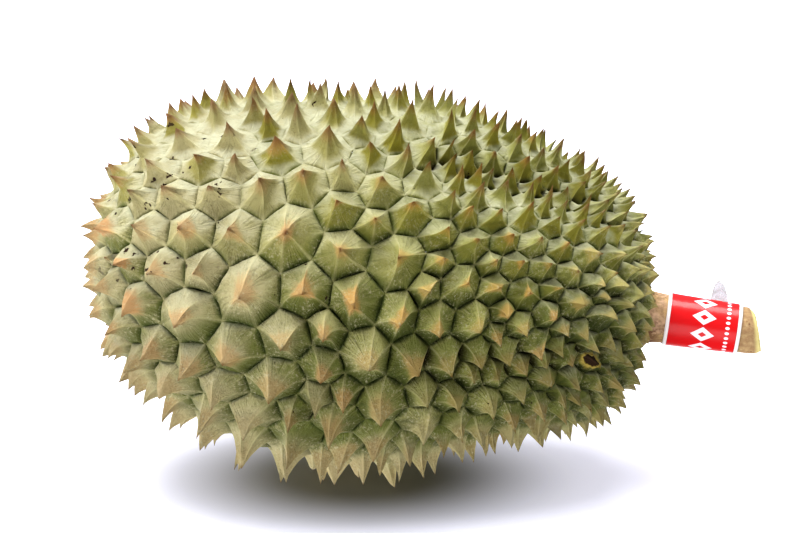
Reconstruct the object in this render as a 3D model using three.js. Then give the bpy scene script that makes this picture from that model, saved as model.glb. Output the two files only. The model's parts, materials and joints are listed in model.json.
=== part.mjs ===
// A whole durian lying on its side: the spiny husk, the cut stem and the paper band round the stem.
// Millimetres, +Z up. The fruit's axis runs along +X towards the stem and dips a little on that
// side, -Y is its front, and it lies on Z = 0 on the blunted tips of its lowest spines.

import * as THREE from 'three';
import { ConvexHull } from 'three/addons/math/ConvexHull.js';

const { degToRad, lerp, smoothstep } = THREE.MathUtils;

// The rind under its spines: a blunt egg, given by how far it reaches in each direction from its
// middle. X is its axis here, with the stem at +X.
const rind = {
  stemLength: 134, // from the middle to the stem's seat,
  blossomLength: 131, // and to the blossom end
  halfHeight: 88,
  bluntness: 2.5, // 2 is an ellipsoid, and more is squarer
  waistDepth: 0.05, // the pinch behind the stem's shoulders, as a share of the radius
  waistAt: 0.7, // in the direction's share along the axis
  waistWidth: 0.32,
  swells: [
    { towards: [0.66, -0.15, -0.74], width: 0.42, rise: -0.09 }, // a hollow under the waist
    { towards: [0.89, -0.1, -0.44], width: 0.2, rise: 0.07 }, // the full shoulder beyond it
    { towards: [-0.5, -0.2, -0.84], width: 0.36, rise: 0.03 }, // and a full belly before it
    { towards: [-0.76, -0.1, -0.64], width: 0.32, rise: -0.03 }, // drawn in below the blossom end
    { towards: [-0.4, 0, 0.92], width: 0.4, rise: -0.045 }, // the back is flatter before the middle
    { towards: [0.3, 0, 0.95], width: 0.3, rise: 0.015 }, // and fuller behind it
  ],
  blossomLift: 0.065, // turns the blossom end up
  lobes: 5, // one for each carpel
  firstSuture: degToRad(59), // turned up from the front
  sutureDepth: 0.1,
  sutureSharpness: 4,
  sutureStart: -0.1, // where they begin, as the direction's share along the axis,
  sutureFull: 0.55, // and where they are deepest
};

// How the fruit lies.
const pose = {
  dip: degToRad(5.5), // the stem end is this much lower
  press: 2.2, // how far the lowest tip is blunted by the ground
  standLength: 38, // the spines in this oval under the fruit's weight all stand on the ground
  standWidth: 26,
  standShift: -3, // from the middle, away from the stem
  reach: 3.5, // but no spine grows by more than this for it
  blunt: 1.8, // radius of a blunted tip
};

const spines = {
  seed: 11,
  widest: -0.35, // where the spines are furthest apart, as the direction's share along the axis
  widestSpacing: 20.6,
  stemSpacing: 8.2,
  stemEasing: 1.25,
  blossomSpacing: 13,
  blossomEasing: 2.2,
  // Towards the crown, by the direction's share upwards, they are closer and taller for their room.
  crown: { from: 0.1, to: 0.85, spacing: 0.78, height: 1.14 },
  // The rind is drawn in under the spines towards the stem and below, which leaves them taller there.
  drawnIn: { stem: 3.2, stemFrom: -0.3, stemTo: 0.35, below: 2.2, belowFrom: 0.1, belowTo: 0.6 },
  // The large ones are thrown first, at random, and the small ones into the gaps they leave. Room is
  // a share of the spacing, and closest is how near two may stand, as a share of their rooms.
  large: { attempts: 14000, room: [0.92, 1.08], closest: 0.865 },
  small: { attempts: 20000, room: [0.55, 0.7], closest: 1.02 },
  relaxRounds: 3,
  relaxStep: 0.4,
  height: 0.77, // as a share of the room
  heightSpread: 0.1,
  besideStem: 0.7, // how high the spines next to the stem are, against the others
  lean: degToRad(5),
  shoulderAlong: 0.54, // where the ridges bend, from the foot's edge to the middle
  shoulderHeight: 0.28, // and how high that is, as a share of the height
};

// The stem, as radii along its length from the seat.
const stem = {
  length: 60,
  dip: degToRad(6.3),
  turn: degToRad(8), // towards the front
  seatTurn: degToRad(2), // how far below the fruit's axis it grows
  seatDepth: 3,
  seatRadius: 15.5,
  profile: [[0, 13.5], [6, 12.9], [12, 12.4], [22, 12], [36, 11.7], [50, 11.4], [54, 11.5], [58.5, 11]],
  endRadius: 9.6, // of the cut face, inside its rounded rim
  slant: 0.28, // of the cut, longer below
  slantFrom: 52,
  sides: 28,
};

const band = { start: 14.2, width: 36.5, clearance: 0.3, thickness: 0.4, sides: 28 };

const touchGap = 0.3; // between pieces that meet

// A small repeatable random number generator, from 0 to 1.
function randomFrom(seed) {
  let state = seed;
  return () => {
    state = (state + 0x6d2b79f5) | 0;
    let mixed = Math.imul(state ^ (state >>> 15), 1 | state);
    mixed = (mixed + Math.imul(mixed ^ (mixed >>> 7), 61 | mixed)) ^ mixed;
    return ((mixed ^ (mixed >>> 14)) >>> 0) / 4294967296;
  };
}

const random = randomFrom(spines.seed);

// The point of the rind in a direction from its middle.
function rindPoint(direction) {
  const along = direction.x;
  const across = Math.hypot(direction.y, direction.z);
  const waist = rind.waistDepth * Math.exp(-(((along - rind.waistAt) / rind.waistWidth) ** 2));
  const radius = rind.halfHeight * (1 - waist);
  const length = along > 0 ? along / rind.stemLength : -along / rind.blossomLength;
  const egg = (length ** rind.bluntness + (across / radius) ** rind.bluntness) ** (-1 / rind.bluntness);
  const lift = rind.blossomLift * direction.z * Math.max(-along, 0) ** 2;
  const angle = Math.atan2(direction.z, -direction.y) - rind.firstSuture;
  const suture = (0.5 + 0.5 * Math.cos(rind.lobes * angle)) ** rind.sutureSharpness;
  const fade = smoothstep(along, rind.sutureStart, rind.sutureFull) * (1 - Math.max(along, 0) ** 6);
  const depth = rind.sutureDepth * across * fade * suture;
  const swell = rind.swells.reduce((sum, { towards, width, rise }) => {
    const away = new THREE.Vector3(...towards).normalize().distanceTo(direction) / width;
    return sum + rise * Math.exp(-away * away);
  }, 0);
  return direction.clone().multiplyScalar(egg * (1 + lift + swell - depth));
}

// The rind's outward normal, from two short steps along it.
function rindNormal(direction) {
  const step = 0.02;
  const side = new THREE.Vector3(0, 0, 1).cross(direction);
  if (side.lengthSq() < 1e-6) side.set(1, 0, 0);
  side.normalize();
  const up = direction.clone().cross(side).normalize();
  const slope = (tangent) => {
    const ahead = rindPoint(direction.clone().addScaledVector(tangent, step).normalize());
    const behind = rindPoint(direction.clone().addScaledVector(tangent, -step).normalize());
    return ahead.sub(behind);
  };
  return slope(side).cross(slope(up)).normalize();
}

// The factor that a direction's share of the crown gives a measure.
function crowned(direction, factor) {
  return lerp(1, factor, smoothstep(direction.z, spines.crown.from, spines.crown.to));
}

// How far the rind is drawn in under the spines, to nothing at the seat.
function drawnInAt(direction) {
  const { stem: most, stemFrom, stemTo, below, belowFrom, belowTo } = spines.drawnIn;
  const towardsStem = most * smoothstep(direction.x, stemFrom, stemTo);
  const underneath = below * smoothstep(-direction.z, belowFrom, belowTo);
  return Math.max(towardsStem, underneath) * (1 - smoothstep(direction.x, 0.9, 1));
}

// The point between the spines in a direction.
function drawnPoint(direction) {
  return rindPoint(direction).addScaledVector(rindNormal(direction), -drawnInAt(direction));
}

function spacingAt(direction) {
  const along = direction.x;
  const towardsStem = along > spines.widest;
  const end = towardsStem ? spines.stemSpacing : spines.blossomSpacing;
  const share = (along - spines.widest) / ((towardsStem ? 1 : -1) - spines.widest);
  const easing = towardsStem ? spines.stemEasing : spines.blossomEasing;
  return lerp(spines.widestSpacing, end, share ** easing) * crowned(direction, spines.crown.spacing);
}

function randomDirection() {
  const along = 2 * random() - 1;
  const angle = 2 * Math.PI * random();
  const across = Math.sqrt(1 - along * along);
  return new THREE.Vector3(along, across * Math.cos(angle), across * Math.sin(angle));
}

// Adds as many feet of one size as find room.
function throwFeet(feet, { attempts, room: [least, most], closest }) {
  for (let attempt = 0; attempt < attempts; attempt += 1) {
    const direction = randomDirection();
    const room = spacingAt(direction) * lerp(least, most, random());
    const place = rindPoint(direction);
    const near = (foot) => foot.place.distanceTo(place) < (closest * (foot.room + room)) / 2;
    if (!feet.some(near)) feet.push({ direction, place, room });
  }
}

// The triangles between neighbouring feet, each as three indices that run counterclockwise.
function trianglesBetween(feet) {
  const points = feet.map((foot) => foot.direction);
  const hull = new ConvexHull().setFromPoints(points);
  return hull.faces.map((face) => {
    const corners = [face.edge, face.edge.next, face.edge.next.next];
    return corners.map((edge) => points.indexOf(edge.head().point));
  });
}

// For each foot, the triangles round it in counterclockwise order, with the neighbour that starts each.
function ringsOf(feet, triangles) {
  const leftOf = feet.map(() => new Map());
  triangles.forEach((triangle, index) => {
    triangle.forEach((corner, turn) => {
      const next = triangle[(turn + 1) % 3];
      const last = triangle[(turn + 2) % 3];
      leftOf[corner].set(next, { index, neighbour: next, last });
    });
  });
  return leftOf.map((around) => {
    const ring = [around.values().next().value];
    for (;;) {
      const following = around.get(ring.at(-1).last);
      if (following === ring[0]) return ring;
      ring.push(following);
    }
  });
}

// Draws each foot but the seat a little towards the middle of its neighbours, to even them out.
function relax(feet) {
  const rings = ringsOf(feet, trianglesBetween(feet));
  const moved = feet.map((foot, index) => {
    if (index === 0) return foot.direction;
    const middle = new THREE.Vector3();
    rings[index].forEach(({ neighbour }) => middle.add(feet[neighbour].direction));
    middle.normalize();
    return foot.direction.clone().lerp(middle, spines.relaxStep).normalize();
  });
  feet.forEach((foot, index) => {
    foot.direction = moved[index];
    foot.place = rindPoint(foot.direction);
  });
}

const seatDirection = new THREE.Vector3(Math.cos(stem.seatTurn), 0, -Math.sin(stem.seatTurn));
const layFruit = new THREE.Matrix4().makeRotationY(pose.dip);
const stemAxis = new THREE.Vector3(
  Math.cos(stem.dip) * Math.cos(stem.turn),
  -Math.cos(stem.dip) * Math.sin(stem.turn),
  -Math.sin(stem.dip),
);
const seatMiddle = rindPoint(seatDirection)
  .applyMatrix4(layFruit)
  .addScaledVector(stemAxis, -stem.seatDepth);

// A corner of the seat: on a circle round the stem, towards where the rind's own corner was.
function seatCorner(point) {
  const outward = point.clone().sub(seatMiddle).projectOnPlane(stemAxis).normalize();
  return seatMiddle.clone().addScaledVector(outward, stem.seatRadius);
}

// The husk in its resting pose, its lowest tips still sharp: its corners, where three spines meet,
// and for each spine its foot, its tip and its ring of corners.
function growSpines() {
  const seat = { direction: seatDirection, place: rindPoint(seatDirection), room: 2 * stem.seatRadius };
  const feet = [seat];
  throwFeet(feet, spines.large);
  for (let round = 0; round < spines.relaxRounds; round += 1) relax(feet);
  throwFeet(feet, spines.small);
  const triangles = trianglesBetween(feet);
  const rings = ringsOf(feet, triangles);

  const corners = triangles.map((triangle) => {
    const middle = new THREE.Vector3();
    triangle.forEach((index) => middle.addScaledVector(feet[index].direction, 1 / feet[index].room));
    const corner = drawnPoint(middle.normalize()).applyMatrix4(layFruit);
    return triangle.includes(0) ? seatCorner(corner) : corner;
  });

  const grown = feet.map((foot, index) => {
    const besideStem = rings[index].some(({ neighbour }) => neighbour === 0);
    const share = lerp(1 - spines.heightSpread, 1 + spines.heightSpread, random());
    const fullHeight = spines.height * crowned(foot.direction, spines.crown.height) * foot.room * share;
    const above = fullHeight * (besideStem ? spines.besideStem : 1);
    const lean = randomDirection().multiplyScalar(Math.tan(spines.lean));
    const leaning = rindNormal(foot.direction).add(lean).normalize();
    const tip = foot.place.clone().addScaledVector(leaning, above).applyMatrix4(layFruit);
    const middle = drawnPoint(foot.direction).applyMatrix4(layFruit);
    const axis = tip.clone().sub(middle);
    const height = axis.length();
    return { middle, axis: axis.normalize(), height, tip, ring: rings[index].map((each) => each.index) };
  });
  return { corners, spines: grown };
}

function standsOn(spine, ground) {
  const along = (spine.tip.x - pose.standShift) / pose.standLength;
  const across = spine.tip.y / pose.standWidth;
  const underWeight = spine.tip.z < ground + pose.reach && Math.hypot(along, across) < 1;
  return spine.tip.z < ground || underWeight;
}

// Points and triangles of the husk. A spine's ridges run from its corners over a shoulder to its tip,
// so that its sides are hollow, and the lowest spines end in a small flat on the ground.
function huskGeometry(grown, ground) {
  const places = [];
  const faces = [];
  const add = (point) => places.push(point) - 1;
  const cornerIndex = grown.corners.map(add);

  grown.spines.forEach((spine, index) => {
    const seat = index === 0;
    const onGround = !seat && standsOn(spine, ground);
    const tip = spine.tip.clone();
    if (seat) tip.copy(seatMiddle);
    if (onGround) tip.z = ground;
    const tipIndex = add(tip);

    const shoulderIndex = spine.ring.map((cornerNumber) => {
      const corner = grown.corners[cornerNumber];
      if (seat) return add(corner.clone().lerp(seatMiddle, spines.shoulderAlong));
      if (onGround) {
        const outward = corner.clone().sub(tip).setZ(0).normalize();
        return add(tip.clone().addScaledVector(outward, pose.blunt));
      }
      const shoulder = corner.clone().lerp(spine.middle, spines.shoulderAlong);
      return add(shoulder.addScaledVector(spine.axis, spine.height * spines.shoulderHeight));
    });

    spine.ring.forEach((cornerNumber, turn) => {
      const next = (turn + 1) % spine.ring.length;
      const cornerHere = cornerIndex[cornerNumber];
      const cornerNext = cornerIndex[spine.ring[next]];
      const here = shoulderIndex[turn];
      const there = shoulderIndex[next];
      faces.push([tipIndex, here, there], [here, cornerHere, cornerNext], [here, cornerNext, there]);
    });
  });

  const geometry = new THREE.BufferGeometry();
  const numbers = places.flatMap((place) => place.toArray());
  geometry.setAttribute('position', new THREE.Float32BufferAttribute(numbers, 3));
  geometry.setIndex(faces.flat());
  geometry.computeVertexNormals();
  return geometry;
}

// Turns a lathed piece so that its axis is the stem's, and sets its start on the seat.
function setOnStem(mesh, along) {
  const side = new THREE.Vector3(0, 0, -1).cross(stemAxis).negate().normalize();
  const below = side.clone().cross(stemAxis);
  mesh.quaternion.setFromRotationMatrix(new THREE.Matrix4().makeBasis(side, stemAxis, below));
  mesh.position.copy(seatMiddle).addScaledVector(stemAxis, along);
  return mesh;
}

function makeStem() {
  const outline = [
    new THREE.Vector2(0, 0),
    ...stem.profile.map(([along, radius]) => new THREE.Vector2(radius, along)),
    new THREE.Vector2(stem.endRadius, stem.length),
    new THREE.Vector2(0, stem.length),
  ];
  const geometry = new THREE.LatheGeometry(outline, stem.sides);
  const places = geometry.attributes.position;
  for (let index = 0; index < places.count; index += 1) {
    const along = places.getY(index);
    const share = smoothstep(along, stem.slantFrom, stem.length);
    places.setY(index, along + stem.slant * share * places.getZ(index));
  }
  geometry.computeVertexNormals();
  const bark = new THREE.MeshStandardMaterial({ color: 0x9c7a5c, roughness: 0.85, metalness: 0 });
  const mesh = new THREE.Mesh(geometry, bark);
  mesh.name = 'stem';
  return setOnStem(mesh, touchGap);
}

// The stem's radius at a distance from its lower end.
function stemRadiusAt(along) {
  const after = stem.profile.findIndex(([place]) => place >= along);
  const [[from, thin], [to, thick]] = [stem.profile[after - 1], stem.profile[after]];
  return lerp(thin, thick, (along - from) / (to - from));
}

function makeBand() {
  const end = band.start + band.width;
  const bends = stem.profile.map(([along]) => along).filter((along) => along > band.start && along < end);
  const stops = [band.start, ...bends, end];
  const wall = (extra) => stops.map((along) => new THREE.Vector2(stemRadiusAt(along) + extra, along));
  const inner = wall(band.clearance);
  const outer = wall(band.clearance + band.thickness);
  const outline = [...outer, ...inner.reverse(), outer[0].clone()];
  const paper = new THREE.MeshStandardMaterial({ color: 0xcf1427, roughness: 0.25, metalness: 0 });
  const mesh = new THREE.Mesh(new THREE.LatheGeometry(outline, band.sides), paper);
  mesh.name = 'label_band';
  return setOnStem(mesh, touchGap);
}

function makeHusk(grown, ground) {
  const skin = new THREE.MeshStandardMaterial({ color: 0x98976a, roughness: 0.8, metalness: 0 });
  const mesh = new THREE.Mesh(huskGeometry(grown, ground), skin);
  mesh.name = 'husk';
  return mesh;
}

const grown = growSpines();
const lowestTip = Math.min(...grown.spines.map((spine) => spine.tip.z));
const ground = lowestTip + pose.press;

const durian = new THREE.Group();
durian.add(makeHusk(grown, ground), makeStem(), makeBand());

// The origin is under the middle of the whole part, at the height of the ground.
const box = new THREE.Box3().setFromObject(durian, true);
const middle = box.getCenter(new THREE.Vector3());
durian.position.set(-middle.x, -middle.y, -ground);
durian.updateMatrixWorld(true);

export default durian;
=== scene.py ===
# A whole durian on its side: the spiny rind, the corky stem and the glossy paper band round it.
# Metres, +Z up. The stem points to +X and the front is -Y.

import json
import math
import random

import bmesh
import bpy
import numpy as np
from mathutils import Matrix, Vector, noise

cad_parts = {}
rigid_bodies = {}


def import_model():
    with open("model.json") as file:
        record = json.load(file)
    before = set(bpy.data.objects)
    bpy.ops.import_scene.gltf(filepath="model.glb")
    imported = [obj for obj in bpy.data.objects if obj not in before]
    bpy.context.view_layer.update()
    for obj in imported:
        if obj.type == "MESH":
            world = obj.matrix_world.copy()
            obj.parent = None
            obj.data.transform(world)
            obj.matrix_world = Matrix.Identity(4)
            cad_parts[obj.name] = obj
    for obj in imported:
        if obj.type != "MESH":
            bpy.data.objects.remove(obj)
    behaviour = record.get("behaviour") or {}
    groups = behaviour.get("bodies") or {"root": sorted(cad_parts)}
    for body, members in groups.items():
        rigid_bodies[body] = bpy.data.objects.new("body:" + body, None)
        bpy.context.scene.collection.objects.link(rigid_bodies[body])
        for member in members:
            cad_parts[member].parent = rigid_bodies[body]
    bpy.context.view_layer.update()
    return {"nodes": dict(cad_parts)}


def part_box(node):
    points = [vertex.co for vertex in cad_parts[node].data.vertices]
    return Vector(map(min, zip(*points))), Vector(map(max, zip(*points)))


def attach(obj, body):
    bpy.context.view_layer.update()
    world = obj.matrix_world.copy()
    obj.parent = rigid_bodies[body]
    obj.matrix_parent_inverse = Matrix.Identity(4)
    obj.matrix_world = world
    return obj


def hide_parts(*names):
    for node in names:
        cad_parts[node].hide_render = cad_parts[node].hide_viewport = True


for leftover in list(bpy.data.objects):
    bpy.data.objects.remove(leftover)
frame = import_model()
samePoint = 1e-5  # closer points count as one
print("frame loaded")


def tint(red, green, blue):
    # a colour given as it looks on a screen, 0 to 255
    channels = [value / 255 for value in (red, green, blue)]
    return tuple(c / 12.92 if c <= 0.04045 else ((c + 0.055) / 1.055) ** 2.4 for c in channels) + (1.0,)


class Wire:
    # an output socket that arithmetic adds Math nodes to
    def __init__(self, board, socket):
        self.board = board
        self.socket = socket

    def maths(self, operation, *values):
        return self.board.maths(operation, *values)

    def __add__(self, other):
        return self.maths("ADD", self, other)

    def __sub__(self, other):
        return self.maths("SUBTRACT", self, other)

    def __rsub__(self, other):
        return self.maths("SUBTRACT", other, self)

    def __mul__(self, other):
        return self.maths("MULTIPLY", self, other)

    def __truediv__(self, other):
        return self.maths("DIVIDE", self, other)

    def __pow__(self, other):
        return self.maths("POWER", self, other)

    __radd__ = __add__
    __rmul__ = __mul__

    def clamped(self):
        return self.maths("MINIMUM", self, 1.0)


class Board:
    # a node tree, with one way to add a node and a few shorthands for common ones
    def __init__(self, tree):
        self.tree = tree

    def plug(self, socket, value):
        if isinstance(value, Wire):
            self.tree.links.new(value.socket, socket)
        elif value is not None:
            socket.default_value = value

    def fill(self, node, sockets):
        for key, value in sockets.items():
            self.plug(node.inputs[key], value)

    def node(self, kind, settings=None, sockets=None, out=0):
        made = self.tree.nodes.new(kind)
        for name, value in (settings or {}).items():
            setattr(made, name, value)
        self.fill(made, sockets or {})
        return Wire(self, made.outputs[out])

    def maths(self, operation, *values):
        return self.node("ShaderNodeMath", {"operation": operation}, dict(enumerate(values)))

    def vector(self, operation, *values, out=0, scale=None):
        sockets = dict(enumerate(values))
        if scale is not None:
            sockets["Scale"] = scale
        return self.node("ShaderNodeVectorMath", {"operation": operation}, sockets, out)

    def blend(self, factor, first, second):
        # colours: sockets 6 and 7 of a Mix node, result 2
        settings = {"data_type": "RGBA", "clamp_factor": True}
        return self.node("ShaderNodeMix", settings, {0: factor, 6: first, 7: second}, out=2)

    def between(self, value, low, high, atLow=0.0, atHigh=1.0):
        # a smooth step from one value to another
        settings = {"interpolation_type": "SMOOTHSTEP"}
        sockets = {"Value": value, "From Min": low, "From Max": high, "To Min": atLow, "To Max": atHigh}
        return self.node("ShaderNodeMapRange", settings, sockets)

    def split(self, vector):
        # the three parts of a vector
        parts = self.node("ShaderNodeSeparateXYZ", {}, {0: vector})
        return [Wire(self, socket) for socket in parts.socket.node.outputs]

    def merge(self, x, y, z):
        return self.node("ShaderNodeCombineXYZ", {}, {0: x, 1: y, 2: z})

    def noise(self, place, scale, detail=2.0, roughness=0.5, out="Fac"):
        sockets = {"Vector": place, "Scale": scale, "Detail": detail, "Roughness": roughness}
        return self.node("ShaderNodeTexNoise", {}, sockets, out)

    def coordinates(self, out="Object"):
        return self.node("ShaderNodeTexCoord", out=out)

    def read(self, name, out="Fac"):
        # the mesh's own attribute, in a material
        return self.node("ShaderNodeAttribute", {"attribute_name": name}, out=out)

    def recall(self, name, kind="FLOAT_VECTOR"):
        # and in a geometry tree
        return self.node("GeometryNodeInputNamedAttribute", {"data_type": kind}, {"Name": name})

    def store(self, geometry, name, value, kind="FLOAT", domain="POINT"):
        settings = {"data_type": kind, "domain": domain}
        sockets = {"Geometry": geometry, "Name": name, "Value": value}
        return self.node("GeometryNodeStoreNamedAttribute", settings, sockets)

    def bump(self, relief, strength, distance):
        sockets = {"Strength": strength, "Distance": distance, "Height": relief}
        return self.node("ShaderNodeBump", {}, sockets, out="Normal")


def newMaterial(name):
    material = bpy.data.materials.new(name)
    material.use_nodes = True
    board = Board(material.node_tree)
    shader = next(n for n in material.node_tree.nodes if n.type == "BSDF_PRINCIPLED")
    return material, board, shader


def linked(name, data):
    made = bpy.data.objects.new(name, data)
    bpy.context.scene.collection.objects.link(made)
    return made


def newObject(name, points, faces, material=None, smooth=True):
    mesh = bpy.data.meshes.new(name)
    mesh.from_pydata([tuple(p) for p in points], [], [tuple(f) for f in faces])
    mesh.polygons.foreach_set("use_smooth", [smooth] * len(mesh.polygons))
    mesh.update()
    if material:
        mesh.materials.append(material)
    return linked(name, mesh)


def setAttribute(mesh, name, values):
    # one number or one vector for each point
    values = np.asarray(values, dtype=np.float32)
    kind, field = ("FLOAT_VECTOR", "vector") if values.ndim == 2 else ("FLOAT", "value")
    mesh.attributes.new(name, kind, "POINT").data.foreach_set(field, values.ravel())


def newGeometryTree(name, inputs):
    # a geometry tree with a geometry in and out and these further named inputs
    tree = bpy.data.node_groups.new(name, "GeometryNodeTree")
    tree.interface.new_socket("Geometry", in_out="OUTPUT", socket_type="NodeSocketGeometry")
    tree.interface.new_socket("Geometry", in_out="INPUT", socket_type="NodeSocketGeometry")
    for label, kind in inputs.items():
        tree.interface.new_socket(label, in_out="INPUT", socket_type=kind)
    entry = tree.nodes.new("NodeGroupInput")
    board = Board(tree)
    wires = {socket.name: Wire(board, socket) for socket in entry.outputs if socket.name}
    return tree, board, wires


def endTree(board, geometry, material):
    # every tree ends in real, shaded geometry
    real = board.node("GeometryNodeRealizeInstances", {}, {0: geometry})
    finished = board.node("GeometryNodeSetMaterial", {}, {"Geometry": real, "Material": material})
    leave = board.tree.nodes.new("NodeGroupOutput")
    board.plug(leave.inputs[0], finished)


def applyTree(source, tree, values, name):
    # runs the tree on the object and gives back its result as a plain mesh object
    modifier = source.modifiers.new(tree.name, "NODES")
    modifier.node_group = tree
    for item in tree.interface.items_tree:
        if item.item_type == "SOCKET" and item.in_out == "INPUT" and item.name in values:
            modifier[item.identifier] = values[item.name]
    evaluated = source.evaluated_get(bpy.context.evaluated_depsgraph_get())
    mesh = bpy.data.meshes.new_from_object(evaluated)
    source.modifiers.remove(modifier)
    bpy.data.objects.remove(source)
    mesh.name = name
    return linked(name, mesh)


def outwards(mesh):
    # every face turned outwards, after its doubles are merged
    shell = bmesh.new()
    shell.from_mesh(mesh)
    bmesh.ops.remove_doubles(shell, verts=shell.verts, dist=1e-7)
    bmesh.ops.recalc_face_normals(shell, faces=shell.faces)
    shell.to_mesh(mesh)
    shell.free()
    mesh.update()


def ringFaces(lower, upper, sides):
    # the faces between two rings of points, which start at these two places
    turns = [(turn, (turn + 1) % sides) for turn in range(sides)]
    return [(lower + here, lower + after, upper + after, upper + here) for here, after in turns]


rindPlan = {
    # from the spines that point forwards to those that point up or down
    "flare": (1.1, 2.05),  # how hollow they are from foot to tip
    "bulge": (0.12, 0.04),  # how full their feet are, as a share of the height
    "sag": (0.18, 0.42),  # how far the flanks sink between their ridges
    "upward": (1.3, -0.1),  # a spine's upward share is its direction's height times and plus these,
    "downward": (-1.2, -0.35),  # and its downward share is the same with these,
    "downwardMost": 0.8,  # up to here
    "sagShape": 0.75,  # below 1 the flanks are flat and the ridges are thin fins
    "creaseFrom": 0.12,  # between these heights a strong ridge has a crisp edge
    "creaseTo": 0.94,
    "flareSpread": 0.3,
    "bulgeAt": 0.15,
    "grooveDepth": 0.0017,
    "grooveShare": 0.22,  # and at most this share of the cell's side
    "grooveWidth": 0.05,  # of the way from the cell's side to its tip
    "ridges": (3, 5),  # on each spine, the other corners fade into its flanks
    "fadeFrom": 0.02,
    "fadeTo": 0.45,
    "bow": 0.1,  # how far a spine bends sideways, as a share of its height
    "droop": 1.3,  # how much more the lower ones bend down, like beaks
    "droopBelow": 0.6,  # for spines whose direction rises less than this
    "unevenness": 0.0009,
    "unevenScale": 130.0,
    "bluntBelow": 0.0018,  # how much of a standing spine is worn off
    "seed": 5,
    # the seams between the fruit's five lobes, where the grooves open into pockets
    "dip": math.radians(5.5),  # of the fruit's axis, towards the stem
    "lobes": 5,
    "firstSeam": math.radians(59),  # turned up from the front
    "seamSharpness": 14,
    "seamStart": 0.08,  # as the direction's share along the axis
    "seamFull": 0.3,
    "seamEnd": 0.93,
    "pocketDepth": 0.0055,
    "pocketWidth": 0.13,
    # how fine each layer of its pattern is
    "patches": 22.0,
    "clouds": 90.0,
    "lumps": 260.0,
    "grain": 800.0,
    "streaks": 11.0,
    "pits": 125.0,
    "relief": (0.9, 0.0009),  # how strong and how high its bumps are
    "roughness": 0.62,
    "gnawedAt": (-0.123, -0.047, 0.149),  # where insects left most pits,
    "gnawedReach": (0.06, 0.035),  # from none to all of them
    "woundAt": (0.0765, -0.0578, 0.0744),  # and where a spine is broken, with a hole in a pale rim
    "woundRimReach": (0.006, 0.003),
    "woundHoleReach": (0.0024, 0.0012),
    # its colours
    "beige": tint(183, 173, 130),
    "olive": tint(170, 170, 95),
    "green": tint(116, 121, 58),
    "spike": tint(158, 150, 54),
    "deepGreen": tint(56, 65, 16),
    # pale dust, which also paints the sheen on faces turned up
    "bloomAndSheen": tint(204, 204, 174),
    # painted shade in the seam pockets
    "pocket": tint(58, 44, 18),
    # pale streaks, and the painted highlight along the strong ridges
    "ridge": tint(194, 188, 140),
    "blush": tint(196, 148, 98),
    "golden": tint(206, 160, 82),
    "cream": tint(206, 194, 126),
    "tipBrown": tint(126, 74, 36),
    # painted shade for the grooves
    "grooveShade": tint(74, 92, 38),
    "scurf": tint(196, 190, 156),
    "pit": tint(58, 38, 20),
    "woundRim": tint(210, 184, 92),
}

# the values above that the rind's tree takes as inputs
rindInputs = (
    "grooveDepth", "grooveShare", "grooveWidth", "pocketDepth", "pocketWidth", "bulgeAt",
    "fadeFrom", "fadeTo", "bow", "sagShape", "creaseFrom", "creaseTo", "unevenness",
)

# how far up a flank each row of its grid lies, and where its columns are between two ridges
flankRows = [
    (0.0, (-1, -0.7, 0, 0.7, 1)),
    (0.03, (-1, -0.7, 0, 0.7, 1)),
    (0.08, (-1, -0.7, 0, 0.7, 1)),
    (0.16, (-1, -0.7, 0, 0.7, 1)),
    (0.28, (-1, -0.55, 0.55, 1)),
    (0.42, (-1, -0.5, 0.5, 1)),
    (0.58, (-1, 0, 1)),
    (0.74, (-1, 0, 1)),
    (0.89, (-1, 1)),
    (1.0, (0,)),
]


def readSpines(node):
    # The frame's husk as spines, each with its corners in order. A corner, where three spines meet,
    # has nine edges and another corner beside it, and a tip has no corner beside it.
    shell = bmesh.new()
    shell.from_mesh(node.data)
    bmesh.ops.remove_doubles(shell, verts=shell.verts, dist=samePoint)
    edgeCount = {vert: len(vert.link_edges) for vert in shell.verts}
    nextTo = {vert: [edge.other_vert(vert) for edge in vert.link_edges] for vert in shell.verts}
    corners = {v for v in shell.verts if edgeCount[v] == 9 and any(edgeCount[n] == 9 for n in nextTo[v])}
    spines = []
    for vert in shell.verts:
        if vert in corners or corners.intersection(nextTo[vert]):
            continue
        follows = {}
        for shoulder in nextTo[vert]:
            for face in shoulder.link_faces:
                loop = list(face.verts)
                turn = loop.index(shoulder)
                left, right = loop[turn - 2], loop[turn - 1]
                if left in corners and right in corners:
                    follows[left] = right
        ring = [next(iter(follows))]
        while len(ring) < len(follows):
            ring.append(follows[ring[-1]])
        ring = [corner.co.copy() for corner in ring]
        foot = sum(ring, Vector()) / len(ring)
        spines.append({"tip": vert.co.copy(), "foot": foot, "ring": ring})
    shell.free()
    return spines


def pickRidges(count, draw):
    # which corners carry a strong ridge, about evenly round the spine
    fewest, most = rindPlan["ridges"]
    wanted = min(count, draw.randint(fewest, most))
    start = draw.random() * count
    return sorted({int(start + step * count / wanted) % count for step in range(wanted)})


def fadedCorners(ring, ridges):
    # the corners as they are higher up, with those between two ridges drawn in to one flat flank
    count = len(ring)
    faded = list(ring)
    for index, here in enumerate(ridges):
        after = ridges[(index + 1) % len(ridges)]
        gap = (after - here) % count or count
        for step in range(1, gap):
            faded[(here + step) % count] = ring[here].lerp(ring[after], step / gap)
    return faded


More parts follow.
